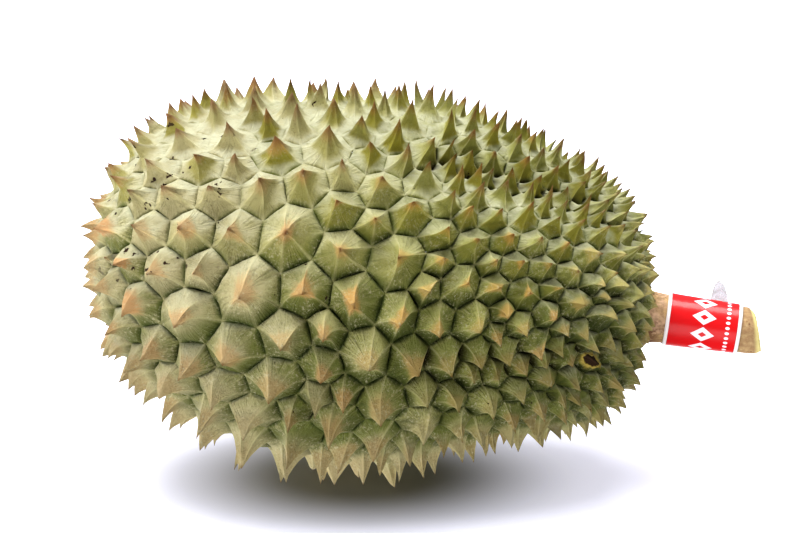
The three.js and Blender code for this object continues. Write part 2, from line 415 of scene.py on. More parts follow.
def flankGrid():
    # a triangle from (-1, 0) and (1, 0) to the tip at (0, 1), in rows that stay fine near its sides
    points, faces, rows = [], [], []

    def middleOf(row, index):
        return (points[row[index]][0] + points[row[index + 1]][0]) / 2

    for rise, columns in flankRows:
        rows.append([])
        for across in columns:
            rows[-1].append(len(points))
            points.append((across, rise, 0.0))
    for lower, upper in zip(rows, rows[1:]):
        here, above = 0, 0
        while here < len(lower) - 1 or above < len(upper) - 1:
            stepLower = above == len(upper) - 1 or (
                here < len(lower) - 1 and middleOf(lower, here) <= middleOf(upper, above)
            )
            if stepLower:
                faces.append((lower[here], lower[here + 1], upper[above]))
                here += 1
            else:
                faces.append((lower[here], upper[above + 1], upper[above]))
                above += 1
    grid = newObject("flankGrid", points, faces)
    setAttribute(grid.data, "across", [p[0] for p in points])
    setAttribute(grid.data, "rise", [p[1] for p in points])
    return grid


def smoothStep(value, low, high):
    share = min(max((value - low) / (high - low), 0), 1)
    return share * share * (3 - 2 * share)


def nearSeam(point, middle):
    # 1 on a seam between two lobes and 0 away from it
    axis = Vector((math.cos(rindPlan["dip"]), 0, -math.sin(rindPlan["dip"])))
    upward = Vector((-axis.z, 0, axis.x))
    away = (point - middle).normalized()
    angle = math.atan2(away.dot(upward), -away.y) - rindPlan["firstSeam"]
    seam = (0.5 + 0.5 * math.cos(rindPlan["lobes"] * angle)) ** rindPlan["seamSharpness"]
    along = away.dot(axis)
    start = smoothStep(along, rindPlan["seamStart"], rindPlan["seamFull"])
    return seam * start * (1 - smoothStep(along, rindPlan["seamEnd"], 1))


def flankPoints(spines, middle):
    # one point for each flank, which carries what the tree needs to lay a grid over it
    draw = random.Random(rindPlan["seed"])
    rows = []
    # the seat under the stem is the flattest cell
    seat = min(spines, key=lambda spine: (spine["tip"] - spine["foot"]).length)
    for spine in spines:
        tip, foot, ring = spine["tip"].copy(), spine["foot"], spine["ring"]
        isSeat = spine is seat
        if tip.z < samePoint:
            tip.z -= rindPlan["bluntBelow"]
        height = tip - foot
        side = height.orthogonal().normalized()
        turn = draw.uniform(0, 2 * math.pi)
        other = height.normalized().cross(side)
        bow = (side * math.cos(turn) + other * math.sin(turn)) * height.length * draw.random()
        pointing = height.normalized().z
        times, plus = rindPlan["upward"]
        upward = min(max(pointing * times + plus, 0), 1)
        lifted = Vector((0, 0, 1)) - height.normalized() * pointing
        drooping = 1 - smoothStep(pointing, 0.0, rindPlan["droopBelow"])
        bow += lifted * height.length * rindPlan["droop"] * drooping
        times, plus = rindPlan["downward"]
        slender = max(upward, min(max(pointing * times + plus, 0), rindPlan["downwardMost"]))
        ranges = [rindPlan[name] for name in ("flare", "bulge", "sag")]
        flare, bulge, sag = (low + (high - low) * slender for low, high in ranges)
        flare += draw.uniform(-0.5, 0.5) * rindPlan["flareSpread"]
        ridges = pickRidges(len(ring), draw)
        traits = (draw.random(), draw.random(), upward)
        build = (flare, bulge, sag)
        if isSeat:
            ridges = list(range(len(ring)))
            build = (1.0, 0.0, 0.0)
        faded = fadedCorners(ring, ridges)
        for index, left in enumerate(ring):
            after = (index + 1) % len(ring)
            strengths = (float(index in ridges), float(after in ridges), 0.0 if isSeat else 1.0)
            seam = nearSeam((left + ring[after]) / 2, middle) * strengths[2]
            rows.append({
                "tip": tip,
                "foot": foot,
                "left": left,
                "right": ring[after],
                "leftFaded": faded[index],
                "rightFaded": faded[after],
                "bow": bow,
                "traits": traits,
                "build": build,
                "ridges": strengths,
                "seam": (seam, 0.0, 0.0),
            })
    carrier = newObject("flankPoints", [row["tip"] for row in rows], [])
    for name in rows[0]:
        setAttribute(carrier.data, name, [tuple(row[name]) for row in rows])
    return carrier


def rindTree():
    inputs = {
        "flankGrid": "NodeSocketObject",
        "middle": "NodeSocketVector",
        "lowCorner": "NodeSocketVector",
        "highCorner": "NodeSocketVector",
        "material": "NodeSocketMaterial",
    }
    inputs.update(dict.fromkeys(rindInputs, "NodeSocketFloat"))
    tree, board, given = newGeometryTree("spinyRind", inputs)
    read = board.recall

    def mixed(share, first, second):
        settings = {"data_type": "VECTOR", "clamp_factor": True}
        return board.node("ShaderNodeMix", settings, {0: share, 4: first, 5: second}, out=1)

    grid = board.node("GeometryNodeObjectInfo", {}, {"Object": given["flankGrid"]}, out="Geometry")
    points = {"Points": given["Geometry"], "Instance": grid}
    laid = board.node("GeometryNodeInstanceOnPoints", {}, points)
    flanks = board.node("GeometryNodeRealizeInstances", {}, {0: laid})

    across, rise = read("across", "FLOAT"), read("rise", "FLOAT")
    tip, foot, bow = read("tip"), read("foot"), read("bow")
    flare, bulge, sag = board.split(read("build"))
    strengths = board.split(read("ridges"))
    fade = board.between(rise, given["fadeFrom"], given["fadeTo"])
    left = mixed(fade, read("left"), read("leftFaded"))
    right = mixed(fade, read("right"), read("rightFaded"))
    half = across * 0.5 + 0.5
    side = mixed(half, read("left"), read("right"))
    level = mixed(rise, mixed(half, left, right), foot)
    inner = 1 - across * across
    strong = board.maths("MINIMUM", strengths[0], strengths[1])
    hollow = (inner ** given["sagShape"]) * rise * (1 - rise) * 4 * sag * (strong * 0.6 + 0.4)
    fullness = rise / given["bulgeAt"]
    fullness = fullness * board.maths("EXPONENT", 1 - fullness)
    height = (rise ** flare) * (1 - hollow) + bulge * inner * fullness

    # the groove is as deep on both sides of a cell's border, so that the two meet
    span = board.vector("DISTANCE", read("left"), read("right"), out="Value")
    seam = board.split(read("seam"))[0]
    deepest = board.maths("MINIMUM", span * given["grooveShare"], given["grooveDepth"])
    deepest = deepest * (1 - board.split(read("traits"))[2] * 0.9) + seam * given["pocketDepth"]
    width = given["grooveWidth"] + seam * given["pocketWidth"]
    wall = board.maths("EXPONENT", 0 - rise / width)
    groove = deepest * inner * wall
    outward = board.vector("NORMALIZE", board.vector("SUBTRACT", side, given["middle"]))

    raised = board.vector("SCALE", board.vector("SUBTRACT", tip, foot), scale=height)
    sunk = board.vector("SCALE", outward, scale=0 - groove)
    bent = board.vector("SCALE", bow, scale=height * (1 - height) * 4 * given["bow"] * strengths[2])
    place = board.vector("ADD", board.vector("ADD", level, raised), board.vector("ADD", sunk, bent))
    shaped = board.node("GeometryNodeSetPosition", {}, {"Geometry": flanks, "Position": place})

    # what the material reads, kept on face corners so that two spines don't mix where they meet
    nearest = mixed(half, board.merge(strengths[0], 0, 0), board.merge(strengths[1], 0, 0))
    ridge = board.split(nearest)[0] * across * across
    kept = shaped
    for name, kind, value in (
        ("rise", "FLOAT", rise),
        ("ridge", "FLOAT", ridge),
        ("inner", "FLOAT", inner),
        ("pocket", "FLOAT", seam * inner * wall),
        ("traits", "FLOAT_VECTOR", read("traits")),
        ("around", "FLOAT_VECTOR", board.vector("NORMALIZE", board.vector("SUBTRACT", level, foot))),
    ):
        kept = board.store(kept, name, value, kind, "CORNER")

    joined = board.node("GeometryNodeMergeByDistance", {}, {"Geometry": kept, "Distance": samePoint})
    here = board.node("GeometryNodeInputPosition")
    facing = board.node("GeometryNodeInputNormal")
    rough = board.noise(here, rindPlan["unevenScale"], 3.0, 0.55) - 0.5
    pushed = board.vector("SCALE", facing, scale=rough * 2 * given["unevenness"])
    uneven = board.node("GeometryNodeSetPosition", {}, {"Geometry": joined, "Offset": pushed})
    uneven = board.store(uneven, "skyward", board.split(facing)[2])
    inside = board.vector("MAXIMUM", here, given["lowCorner"])
    inside = board.vector("MINIMUM", inside, given["highCorner"])
    standing = board.node("GeometryNodeSetPosition", {}, {"Geometry": uneven, "Position": inside})
    smooth = board.node("GeometryNodeSetShadeSmooth", {}, {"Geometry": standing, "Shade Smooth": True})

    # crisp edges along the strong ridges and down in the grooves
    height = read("rise", "FLOAT")
    above = board.maths("GREATER_THAN", height, given["creaseFrom"])
    below = board.maths("LESS_THAN", height, given["creaseTo"])
    onRidge = board.maths("GREATER_THAN", read("ridge", "FLOAT"), 0.95) * above * below
    inGroove = board.maths("LESS_THAN", height, 0.001)
    sockets = {"Geometry": smooth, "Selection": onRidge + inGroove, "Shade Smooth": False}
    creased = board.node("GeometryNodeSetShadeSmooth", {"domain": "EDGE"}, sockets)
    endTree(board, creased, given["material"])
    return tree


def rindMaterial():
    material, board, shader = newMaterial("rind")
    plan = rindPlan
    place = board.coordinates()
    read = board.read

    def coat(mask, colour):
        # laid over what is there, as far as the mask says
        nonlocal body
        body = board.blend(mask, body, plan[colour])

    rise, ridge, inner, skyward = read("rise"), read("ridge"), read("inner"), read("skyward")
    tone, age, upward = board.split(read("traits", "Vector"))
    around = read("around", "Vector")
    x, _, z = board.split(place)

    patches = board.noise(place, plan["patches"], 3.0)
    clouds = board.noise(place, plan["clouds"], 4.0, 0.6)
    lumps = board.noise(place, plan["lumps"], 3.0, 0.6)
    grain = board.noise(place, plan["grain"], 4.0, 0.7)
    streaks = board.noise(board.vector("SCALE", around, scale=plan["streaks"]), 1.0, 4.0, 0.65)

    # greener towards the stem, low down and at the foot of each spine, and greener on its underside as
    # painted shade
    greener = board.between(x, -0.14, 0.11) * 0.4 + patches * 0.6 + tone * 0.5 - 0.1
    # painted shade: greener on the faces turned down and paler on those turned up
    greener = greener - board.between(skyward, -0.2, 0.9, 0.0, 0.42)
    greener = greener + board.between(x, -0.13, -0.07, 0.0, 0.12) * (1 - upward)
    lowest = board.between(z, 0.075, 0.025)
    greener = greener + board.between(rise, 0.0, 0.5, 0.3, 0.0) - 0.12 - lowest * 0.25
    # beige towards the left end and olive further right: partly the rind's own tone, partly painted
    # light, paler where the light is strongest
    pale = board.blend(board.between(x, -0.1, 0.04) * (1 - lowest), plan["beige"], plan["olive"])
    body = board.blend(board.between(greener, 0.1, 0.9), pale, plan["green"])
    body = board.blend(board.between(clouds, 0.42, 0.75, 0.0, 0.45), body, pale)
    streaky = board.between(clouds, 0.35, 0.6, 0.2, 0.9)
    coat(board.between(streaks, 0.5, 0.7, 0.0, 0.5) * streaky, "ridge")
    coat(board.between(streaks, 0.3, 0.48, 0.4, 0.0) * streaky, "deepGreen")
    coat(board.between(grain, 0.36, 0.46, 0.35, 0.0) * streaky, "deepGreen")
    # painted highlight: pale lines along the strong ridges, where their edges catch the light
    coat(board.between(ridge, 0.5, 1.0) * (upward * 0.2 + 0.4), "ridge")
    # painted shade: a darker green laid down in the grooves between cells, where shade falls
    grooves = board.between(rise, 0.0, 0.1, 1.0, 0.0) * board.between(inner, 0.0, 0.6)
    coat(grooves * (0.75 - upward * 0.75), "grooveShade")
    # partly the spikes' own tone, partly painted shade: yellow-olive on the steep flanks of the upright
    # spines, turned away from the sky
    steep = upward * board.between(skyward, 0.75, 0.35) * board.between(rise, 0.08, 0.25)
    coat(steep * board.between(tone, 0.1, 0.9, 0.15, 0.9), "spike")
    # painted shade: deep green on the faces turned down, low on each spine, where the spines above shade
    # them
    paintedUnderShade = board.between(skyward, 0.05, -0.55) * board.between(rise, 0.55, 0.1)
    paintedUnderShade = paintedUnderShade * board.between(x, -0.13, 0.02, 0.4, 0.9) * (1 - lowest * 0.4)
    coat(paintedUnderShade, "deepGreen")
    # painted shade: dark brown down in the deep pockets along the seams
    coat((read("pocket") * 1.7).clamped(), "pocket")
    # a pale dust on the faces turned up, and with it a painted sheen, as the bright sky lightens them
    dustAndSheen = board.between(skyward, 0.2, 0.95) * board.between(lumps + clouds, 0.7, 1.2, 0.4, 0.85)
    bare = board.between(x, -0.11, -0.03, 0.2, 0.9) * (1 - upward)
    bare = bare * board.between(x, 0.02, 0.08, 1.0, 0.3)
    dustAndSheen = dustAndSheen * board.between(rise, 0.2, 0.7, 1.0, 0.4) * (1 - bare)
    coat(dustAndSheen, "bloomAndSheen")

    # the spike blushes and then browns towards its tip
    blushFrom = age * 0.32 + 0.2 + upward * 0.34
    ragged = clouds * 0.4 + lumps * 0.2 + streaks * 0.5 - 0.55
    blush = board.between(rise + ragged, blushFrom, blushFrom + 0.35)
    # partly painted light: higher up, where the light falls, the blush is stronger and more golden
    lit = board.between(z, 0.07, 0.13)
    blushed = board.blend(board.between(x, -0.08, 0.0) * lit, plan["blush"], plan["golden"])
    blushed = board.blend(board.between(x, 0.05, 0.1) * (lit * 0.6 + 0.4), blushed, plan["cream"])
    blush = blush * (tone * 0.45 + 0.14 + lit * 0.34 - upward * 0.3) * (1 - lowest * 0.45)
    body = board.blend(blush, body, blushed)
    browned = board.between(rise + clouds * 0.1, 0.98 - upward * 0.26, 1.06 - upward * 0.04)
    coat(browned * 0.75, "tipBrown")

    # scurf, and the pits that insects leave
    speckle = board.between(grain, 0.52, 0.68) * board.between(clouds, 0.35, 0.6)
    coat(speckle * (0.85 - upward * 0.6), "scurf")
    wander = board.vector("SCALE", board.noise(place, 300.0, 2.0, out="Color"), scale=0.007)
    spot = {"Vector": board.vector("ADD", place, wander), "Scale": plan["pits"]}
    spots = board.node("ShaderNodeTexVoronoi", {}, spot, out="Distance")
    chance = board.split(board.node("ShaderNodeTexVoronoi", {}, spot, out="Color"))[0]
    fromGnawed = board.vector("DISTANCE", place, plan["gnawedAt"], out="Value")
    gnawed = board.between(fromGnawed, *plan["gnawedReach"])
    rare = board.between(chance, 0.74, 0.76) * board.between(patches, 0.5, 0.55)
    eaten = board.between(spots, 0.19, 0.13) * gnawed * board.between(chance, 0.25, 0.27)
    pits = board.maths("MAXIMUM", board.between(spots, 0.1, 0.07) * rare, eaten)
    fromWound = board.vector("DISTANCE", place, plan["woundAt"], out="Value")
    fromWound = fromWound + (clouds - 0.5) * 0.02
    coat(board.between(fromWound, *plan["woundRimReach"]) * 0.85, "woundRim")
    pits = board.maths("MAXIMUM", pits, board.between(fromWound, *plan["woundHoleReach"]))
    coat(pits, "pit")
    pleats = streaks * (0.6 + board.between(rise, 0.0, 0.6, 0.9, 0.0))
    relief = grain * 0.7 + lumps * 1.5 + pleats * 1.8 - pits * 1.2
    board.fill(shader, {
        "Base Color": body,
        "Roughness": plan["roughness"] + speckle * 0.25 + grooves * 0.1,
        "Specular IOR Level": 0.22,
        "Normal": board.bump(relief, *plan["relief"]),
    })
    return material


def makeRind():
    node = frame["nodes"]["husk"]
    low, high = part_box("husk")
    middle = (Vector(low) + Vector(high)) / 2
    spines = readSpines(node)
    grid = flankGrid()
    carrier = flankPoints(spines, middle)
    values = {
        "flankGrid": grid,
        "middle": middle,
        "lowCorner": Vector(low),
        "highCorner": Vector(high),
        "material": rindMaterial(),
    }
    values.update({name: rindPlan[name] for name in rindInputs})
    rind = applyTree(carrier, rindTree(), values, "rind")
    bpy.data.objects.remove(grid)
    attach(rind, "root")
    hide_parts("husk")
    print("rind:", len(spines) - 1, "spines and the seat,", len(rind.data.polygons), "faces")


makeRind()


stemPlan = {
    "dip": math.radians(6.3),
    "turn": math.radians(8),  # towards the front
    "length": 0.06,
    "profile": [  # how far along, and the radius there
        (0.0, 0.0135), (0.006, 0.0129), (0.012, 0.0124), (0.022, 0.012), (0.036, 0.0117), (0.05, 0.0114),
        (0.054, 0.0114), (0.0565, 0.0112), (0.0585, 0.0105), (0.06, 0.0092),
    ],
    "slant": 0.28,  # of the cut end, longer below
    "slantFrom": 0.052,
    "worn": 0.0012,  # how far the cut's upper edge is rubbed back
    "dish": 0.0008,  # how hollow the cut face is
    "cutRings": (0.97, 0.92, 0.85, 0.75, 0.62, 0.48, 0.34, 0.2, 0.08),  # shares of its radius
    "cutRoughness": 0.00015,
    "sides": 96,
    "step": 0.0006,
    "cracks": 0.0003,
    "lenticels": 120.0,  # small raised warts
    "barkArea": 0.0045,
    "lenticelRadius": 0.0004,
    "lenticelShape": (1.0, 1.6, 0.45),
    "lenticelSizes": (0.5, 1.3),
    "seed": 3,
    "relief": (0.6, 0.0005),
    "roughness": 0.78,
    # its colours
    "bark": tint(222, 184, 152),
    "tanBark": tint(214, 180, 124),
    "endBark": tint(180, 150, 106),
    "mottle": tint(146, 108, 74),
    "paleMottle": tint(232, 206, 160),
    "streak": tint(132, 98, 70),
    "speck": tint(104, 74, 50),
    "blotch": tint(112, 76, 50),
    "lenticel": tint(110, 74, 48),
    "barkRimHighlight": tint(238, 224, 150),  # where the bark ends at the cut, a painted highlight on the rim
    "fibre": tint(140, 112, 74),
    "paleFibre": tint(180, 154, 106),
    # a painted highlight round the rim of the cut face
    "cutRimHighlight": tint(240, 226, 150),
}


class Axis:
    # the stem's own directions, and its seat as the frame has it
    def __init__(self):
        dip, turn = stemPlan["dip"], stemPlan["turn"]
        level = math.cos(dip)
        self.along = Vector((level * math.cos(turn), -level * math.sin(turn), -math.sin(dip)))
        self.side = self.along.cross(Vector((0, 0, 1))).normalized()
        self.up = self.side.cross(self.along).normalized()
        points = [vert.co for vert in frame["nodes"]["stem"].data.vertices]
        lowest = min(point.dot(self.along) for point in points)
        seat = [point for point in points if point.dot(self.along) < lowest + 1e-4]
        unique = {tuple(round(value, 6) for value in point) for point in seat}
        self.seat = sum((Vector(point) for point in unique), Vector()) / len(unique)

    def point(self, along, angle, radius):
        # the angle starts on top and turns towards the front
        across = self.up * math.cos(angle) + self.side * math.sin(angle)
        return self.seat + self.along * along + across * radius


stemAxis = Axis()


def stemRadius(along):
    profile = stemPlan["profile"]
    for (start, first), (end, second) in zip(profile, profile[1:]):
        if along <= end:
            share = (along - start) / (end - start)
            return first + (second - first) * share
    return profile[-1][1]


def slanted(along, angle, radius):
    # how far the slant moves a point along the stem
    reach = (along - stemPlan["slantFrom"]) / (stemPlan["length"] - stemPlan["slantFrom"])
    reach = min(max(reach, 0), 1)
    edge = max(math.cos(angle), 0) * radius / stemPlan["profile"][-1][1]
    return along - reach * (stemPlan["slant"] * radius * math.cos(angle) + stemPlan["worn"] * edge ** 3)


def stemMaterial():
    material, board, shader = newMaterial("stemBark")
    plan = stemPlan
    place = board.coordinates()
    read = board.read

    def coat(mask, colour):
        # laid over what is there, as far as the mask says
        nonlocal bark
        bark = board.blend(mask, bark, plan[colour])

    along, turned, cut, warty = read("along"), read("round"), read("cut"), read("warty")
    z = board.split(place)[2]
    streaks = board.noise(board.merge(along * 60, turned * 5.0, cut * 7), 1.0, 4.0, 0.6)
    patches = board.noise(place, 110.0, 3.0, 0.6)
    mottle = board.noise(place, 420.0, 4.0, 0.65)
    grain = board.noise(place, 1100.0, 4.0, 0.7)
    bark = board.blend(board.between(patches, 0.35, 0.65), plan["bark"], plan["tanBark"])
    coat(board.between(along, 0.03, 0.045), "endBark")
    coat(board.between(mottle, 0.4, 0.66, 0.0, 0.6), "mottle")
    coat(board.between(mottle, 0.28, 0.42, 0.35, 0.0), "paleMottle")
    coat(board.between(streaks, 0.35, 0.6, 0.3, 0.0), "streak")
    coat(board.between(grain, 0.55, 0.75, 0.0, 0.3), "speck")
    # darker and blotched with brown low down, next to the fruit
    near = board.between(along, 0.016, 0.008) * board.between(z - stemAxis.seat.z, 0.004, -0.006)
    blotches = board.between(patches + mottle, 0.85, 1.05)
    coat(near * (blotches * 0.5 + 0.3), "blotch")
    coat(warty * 0.7, "lenticel")
    # painted highlight: a pale yellow rim where the bark ends at the cut
    coat(board.between(along, 0.057, 0.0592, 0.0, 0.85), "barkRimHighlight")
    fibres = board.noise(place, 420.0, 4.0, 0.75)
    face = board.blend(board.between(fibres, 0.35, 0.65), plan["fibre"], plan["paleFibre"])
    # painted highlight: a pale rim round the cut face
    face = board.blend(board.between(cut, 0.7, 0.92), face, plan["cutRimHighlight"])
    whole = board.blend(board.between(cut, 0.01, 0.05), bark, face)
    relief = grain * 0.5 + streaks * 0.4 + mottle * 0.9
    board.fill(shader, {
        "Base Color": whole,
        "Roughness": plan["roughness"] + grain * 0.1,
        "Normal": board.bump(relief, *plan["relief"]),
    })
    return material


def makeStem():
    plan = stemPlan
    sides = plan["sides"]
    stations = int(plan["length"] / plan["step"])
    points, faces, marks = [], [], []

    def crack(along, angle):
        # fine lengthwise cracks in the cork
        spot = Vector((along * 90, math.cos(angle) * 4, math.sin(angle) * 4))
        wide = Vector((along * 160, math.cos(angle) * 1.5, math.sin(angle) * 1.5))
        return (noise.fractal(spot, 1.0, 2.0, 4) - 0.4) * 0.6 + noise.noise(wide) * 0.6 - 0.3

    for station in range(stations + 1):
        along = plan["length"] * station / stations
        for turn in range(sides):
            angle = 2 * math.pi * turn / sides
            radius = stemRadius(along) + min(plan["cracks"] * crack(along, angle), 0)
            points.append(stemAxis.point(slanted(along, angle, radius), angle, radius))
            marks.append((along, angle, 0.0))
    for station in range(stations):
        faces += ringFaces(station * sides, (station + 1) * sides, sides)
    last = stations * sides
    for share in plan["cutRings"]:
        start = len(points)
        for turn in range(sides):
            angle = 2 * math.pi * turn / sides
            radius = stemRadius(plan["length"]) * share
            sunk = plan["dish"] * (1 - share ** 2)
            spot = Vector((share * 9, math.cos(angle) * 5, math.sin(angle) * 5))
            rough = noise.noise(spot) * plan["cutRoughness"]
            along = slanted(plan["length"], angle, radius) - sunk + rough
            points.append(stemAxis.point(along, angle, radius))
            marks.append((plan["length"], angle, share))
        faces += ringFaces(last, start, sides)
        last = start
    points.append(stemAxis.point(plan["length"] - plan["dish"], 0, 0))
    marks.append((plan["length"], 0, 0.02))
    for turn in range(sides):
        faces.append((last + turn, last + (turn + 1) % sides, len(points) - 1))
    points.append(stemAxis.seat.copy())
    marks.append((0, 0, 0))
    for turn in range(sides):
        faces.append(((turn + 1) % sides, turn, len(points) - 1))
    made = newObject("stemBody", points, faces)
    setAttribute(made.data, "along", [mark[0] for mark in marks])
    setAttribute(made.data, "round", [abs(math.pi - mark[1]) for mark in marks])
    setAttribute(made.data, "cut", [mark[2] for mark in marks])
    setAttribute(made.data, "warty", [0.0] * len(points))
    outwards(made.data)
    stem = applyTree(made, lenticelTree(), {
        "howMany": plan["lenticels"],
        "seed": plan["seed"],
        "material": stemMaterial(),
    }, "stem_bark")
    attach(stem, "root")
    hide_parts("stem")
    print("stem:", len(stem.data.polygons), "faces")


def lenticelTree():
    # small raised warts scattered over the bark
    tree, board, given = newGeometryTree("lenticels", {
        "howMany": "NodeSocketFloat",
        "seed": "NodeSocketInt",
        "material": "NodeSocketMaterial",
    })
    cut = board.recall("cut", "FLOAT")
    density = given["howMany"] / stemPlan["barkArea"]
    scatter = board.node("GeometryNodeDistributePointsOnFaces", {}, {
        "Mesh": given["Geometry"],
        "Selection": board.maths("LESS_THAN", cut, 0.001),
        "Density": density,
        "Seed": given["seed"],
    })
    turned = Wire(board, scatter.socket.node.outputs["Rotation"])
    sphere = {"Radius": stemPlan["lenticelRadius"], "Subdivisions": 2}
    ball = board.node("GeometryNodeMeshIcoSphere", {}, sphere)
    squashed = {"Geometry": ball, "Scale": stemPlan["lenticelShape"]}
    flat = board.node("GeometryNodeTransform", {}, squashed)
    smallest, largest = stemPlan["lenticelSizes"]
    drawn = {2: smallest, 3: largest, "Seed": 4}
    size = board.node("FunctionNodeRandomValue", {"data_type": "FLOAT"}, drawn, out=1)
    placed = board.node("GeometryNodeInstanceOnPoints", {}, {
        "Points": scatter, "Instance": flat, "Rotation": turned, "Scale": size,
    })
    marked = board.node("GeometryNodeRealizeInstances", {}, {0: placed})
    marked = board.store(marked, "warty", 1.0)
    both = board.node("GeometryNodeJoinGeometry")
    tree.links.new(marked.socket, both.socket.node.inputs[0])
    tree.links.new(given["Geometry"].socket, both.socket.node.inputs[0])
    smooth = board.node("GeometryNodeSetShadeSmooth", {}, {"Geometry": both, "Shade Smooth": True})
    endTree(board, smooth, given["material"])
    return tree


makeStem()


# the glossy paper band round the stem
bandPlan = {
    "start": 0.0143,
    "width": 0.0363,
    "clearance": 0.00035,
    "thickness": 0.0003,
    "sides": 120,
    "stations": 48,
    "seamAt": math.radians(-40),  # from the top, behind
    "lap": 0.00015,  # the step where its end lies on its start
    "ripple": 0.00008,
    "border": 0.0018,  # white paper at both edges
    "lozenges": 9,
    "lozengeReach": 0.0066,  # from the middle to their points
    "dots": 30,
    "dotsAt": 0.82,  # as a share of the width
    "dotReach": 0.0018,
    "inkLine": 0.0004,  # a darker line that ends the ink
    "relief": (0.2, 0.0004),
    "roughness": 0.32,
    # its colours
    "paper": tint(248, 240, 238),
    "red": tint(214, 6, 14),
    "lighterRed": tint(221, 24, 30),
    "motif": tint(244, 238, 246),
    "line": tint(150, 20, 50),
}


def bandMaterial():
    material, board, shader = newMaterial("glossyPaper")
    plan = bandPlan
    along, turned = board.read("along"), board.read("round")
    place = board.coordinates()
    width = plan["width"]
    inkEnd = width / 2 - plan["border"]
    fromMiddle = board.maths("ABSOLUTE", along - width / 2)
    panel = board.between(fromMiddle, inkEnd + 0.0001, inkEnd)

    # large lozenges in a row round the band, red inside, and a row of dots beside them
    turns = turned * plan["lozenges"] / (2 * math.pi)
    around = board.maths("ABSOLUTE", board.maths("FRACT", turns + 0.5) - 0.5) * 2
    down = fromMiddle / plan["lozengeReach"]
    lozenge = board.between(around + down, 0.9, 0.87) * board.between(around + down, 0.3, 0.33)
    dotStep = board.maths("FRACT", turned * plan["dots"] / (2 * math.pi)) - 0.5
    dotSide = (along - width * plan["dotsAt"]) / plan["dotReach"]
    dots = board.between((dotStep * 2) ** 2 + dotSide * dotSide, 0.4, 0.3)
    motif = (lozenge + dots).clamped()
    red = board.blend(board.noise(place, 60.0), plan["red"], plan["lighterRed"])
    printed = board.blend(motif, red, plan["motif"])
    line = board.between(fromMiddle, inkEnd - plan["inkLine"], inkEnd)
    printed = board.blend(line * 0.7, printed, plan["line"])
    paper = board.blend(panel, plan["paper"], printed)
    ripple = board.noise(place, 160.0, 2.0)
    board.fill(shader, {
        "Base Color": paper,
        "Roughness": plan["roughness"],
        "Specular IOR Level": 0.3,
        "Coat Weight": 0.25,
        "Coat Roughness": 0.1,
        "Normal": board.bump(ripple, *plan["relief"]),
    })
    return material


def makeBand():
    plan = bandPlan
    sides, stations = plan["sides"], plan["stations"]
    points, faces, marks = [], [], []

    def radiusAt(share, angle, layer):
        along = plan["start"] + plan["width"] * share
        spot = Vector((share * 5, math.cos(angle) * 2, math.sin(angle) * 2))
        ripple = noise.noise(spot) * plan["ripple"]
        wound = 1 - ((angle - plan["seamAt"]) / (2 * math.pi)) % 1
        lift = plan["thickness"] * layer + plan["lap"] * wound * layer
        return stemRadius(along) + plan["clearance"] + ripple + lift

    # out over the outer face and back over the inner one, so that the wall is closed
    path = [(index / stations, 1) for index in range(stations + 1)]
    path += [(1 - index / stations, 0) for index in range(stations + 1)]
    for share, layer in path:
        for turn in range(sides):
            angle = 2 * math.pi * turn / sides
            radius = radiusAt(share, angle, layer)
            points.append(stemAxis.point(plan["start"] + plan["width"] * share, angle, radius))
            marks.append((plan["width"] * share, angle))
    count = len(path)
    for ring in range(count):
        faces += ringFaces(ring * sides, ((ring + 1) % count) * sides, sides)
    band = newObject("paper_band", points, faces, bandMaterial())
    setAttribute(band.data, "along", [mark[0] for mark in marks])
    setAttribute(band.data, "round", [abs(math.pi - mark[1]) for mark in marks])
    outwards(band.data)
    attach(band, "root")
    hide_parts("label_band")
    print("band:", len(band.data.polygons), "faces")


makeBand()


# a tail of clear film that stands up behind the band
filmPlan = {
    "along": 0.0398,  # on the stem
    "root": math.radians(-48),  # from the top, behind
    "rise": 0.012,
    "back": 0.0025,
    "width": 0.0088,
    "thickness": 0.00012,
    "rows": 20,
    "columns": 8,
    "dish": 0.0006,
    "bendAt": 0.25,  # how far out it bends upright, as a share of its rise
    "taperFrom": 0.3,  # and where it starts to narrow
    "tint": tint(164, 163, 150),
    "crease": tint(146, 146, 132),
    "opacity": (0.45, 0.56),
    "relief": (0.15, 0.0004),
    "roughness": 0.3,
}


def filmMaterial():
    material, board, shader = newMaterial("clearFilm")
    creases = board.noise(board.coordinates(), 220.0, 2.0, 0.5)
    board.fill(shader, {
        "Base Color": board.blend(creases, filmPlan["tint"], filmPlan["crease"]),
        "Alpha": board.between(creases, 0.3, 0.7, *filmPlan["opacity"]),
        "Roughness": filmPlan["roughness"],
        "Normal": board.bump(creases, *filmPlan["relief"]),
    })
    return material


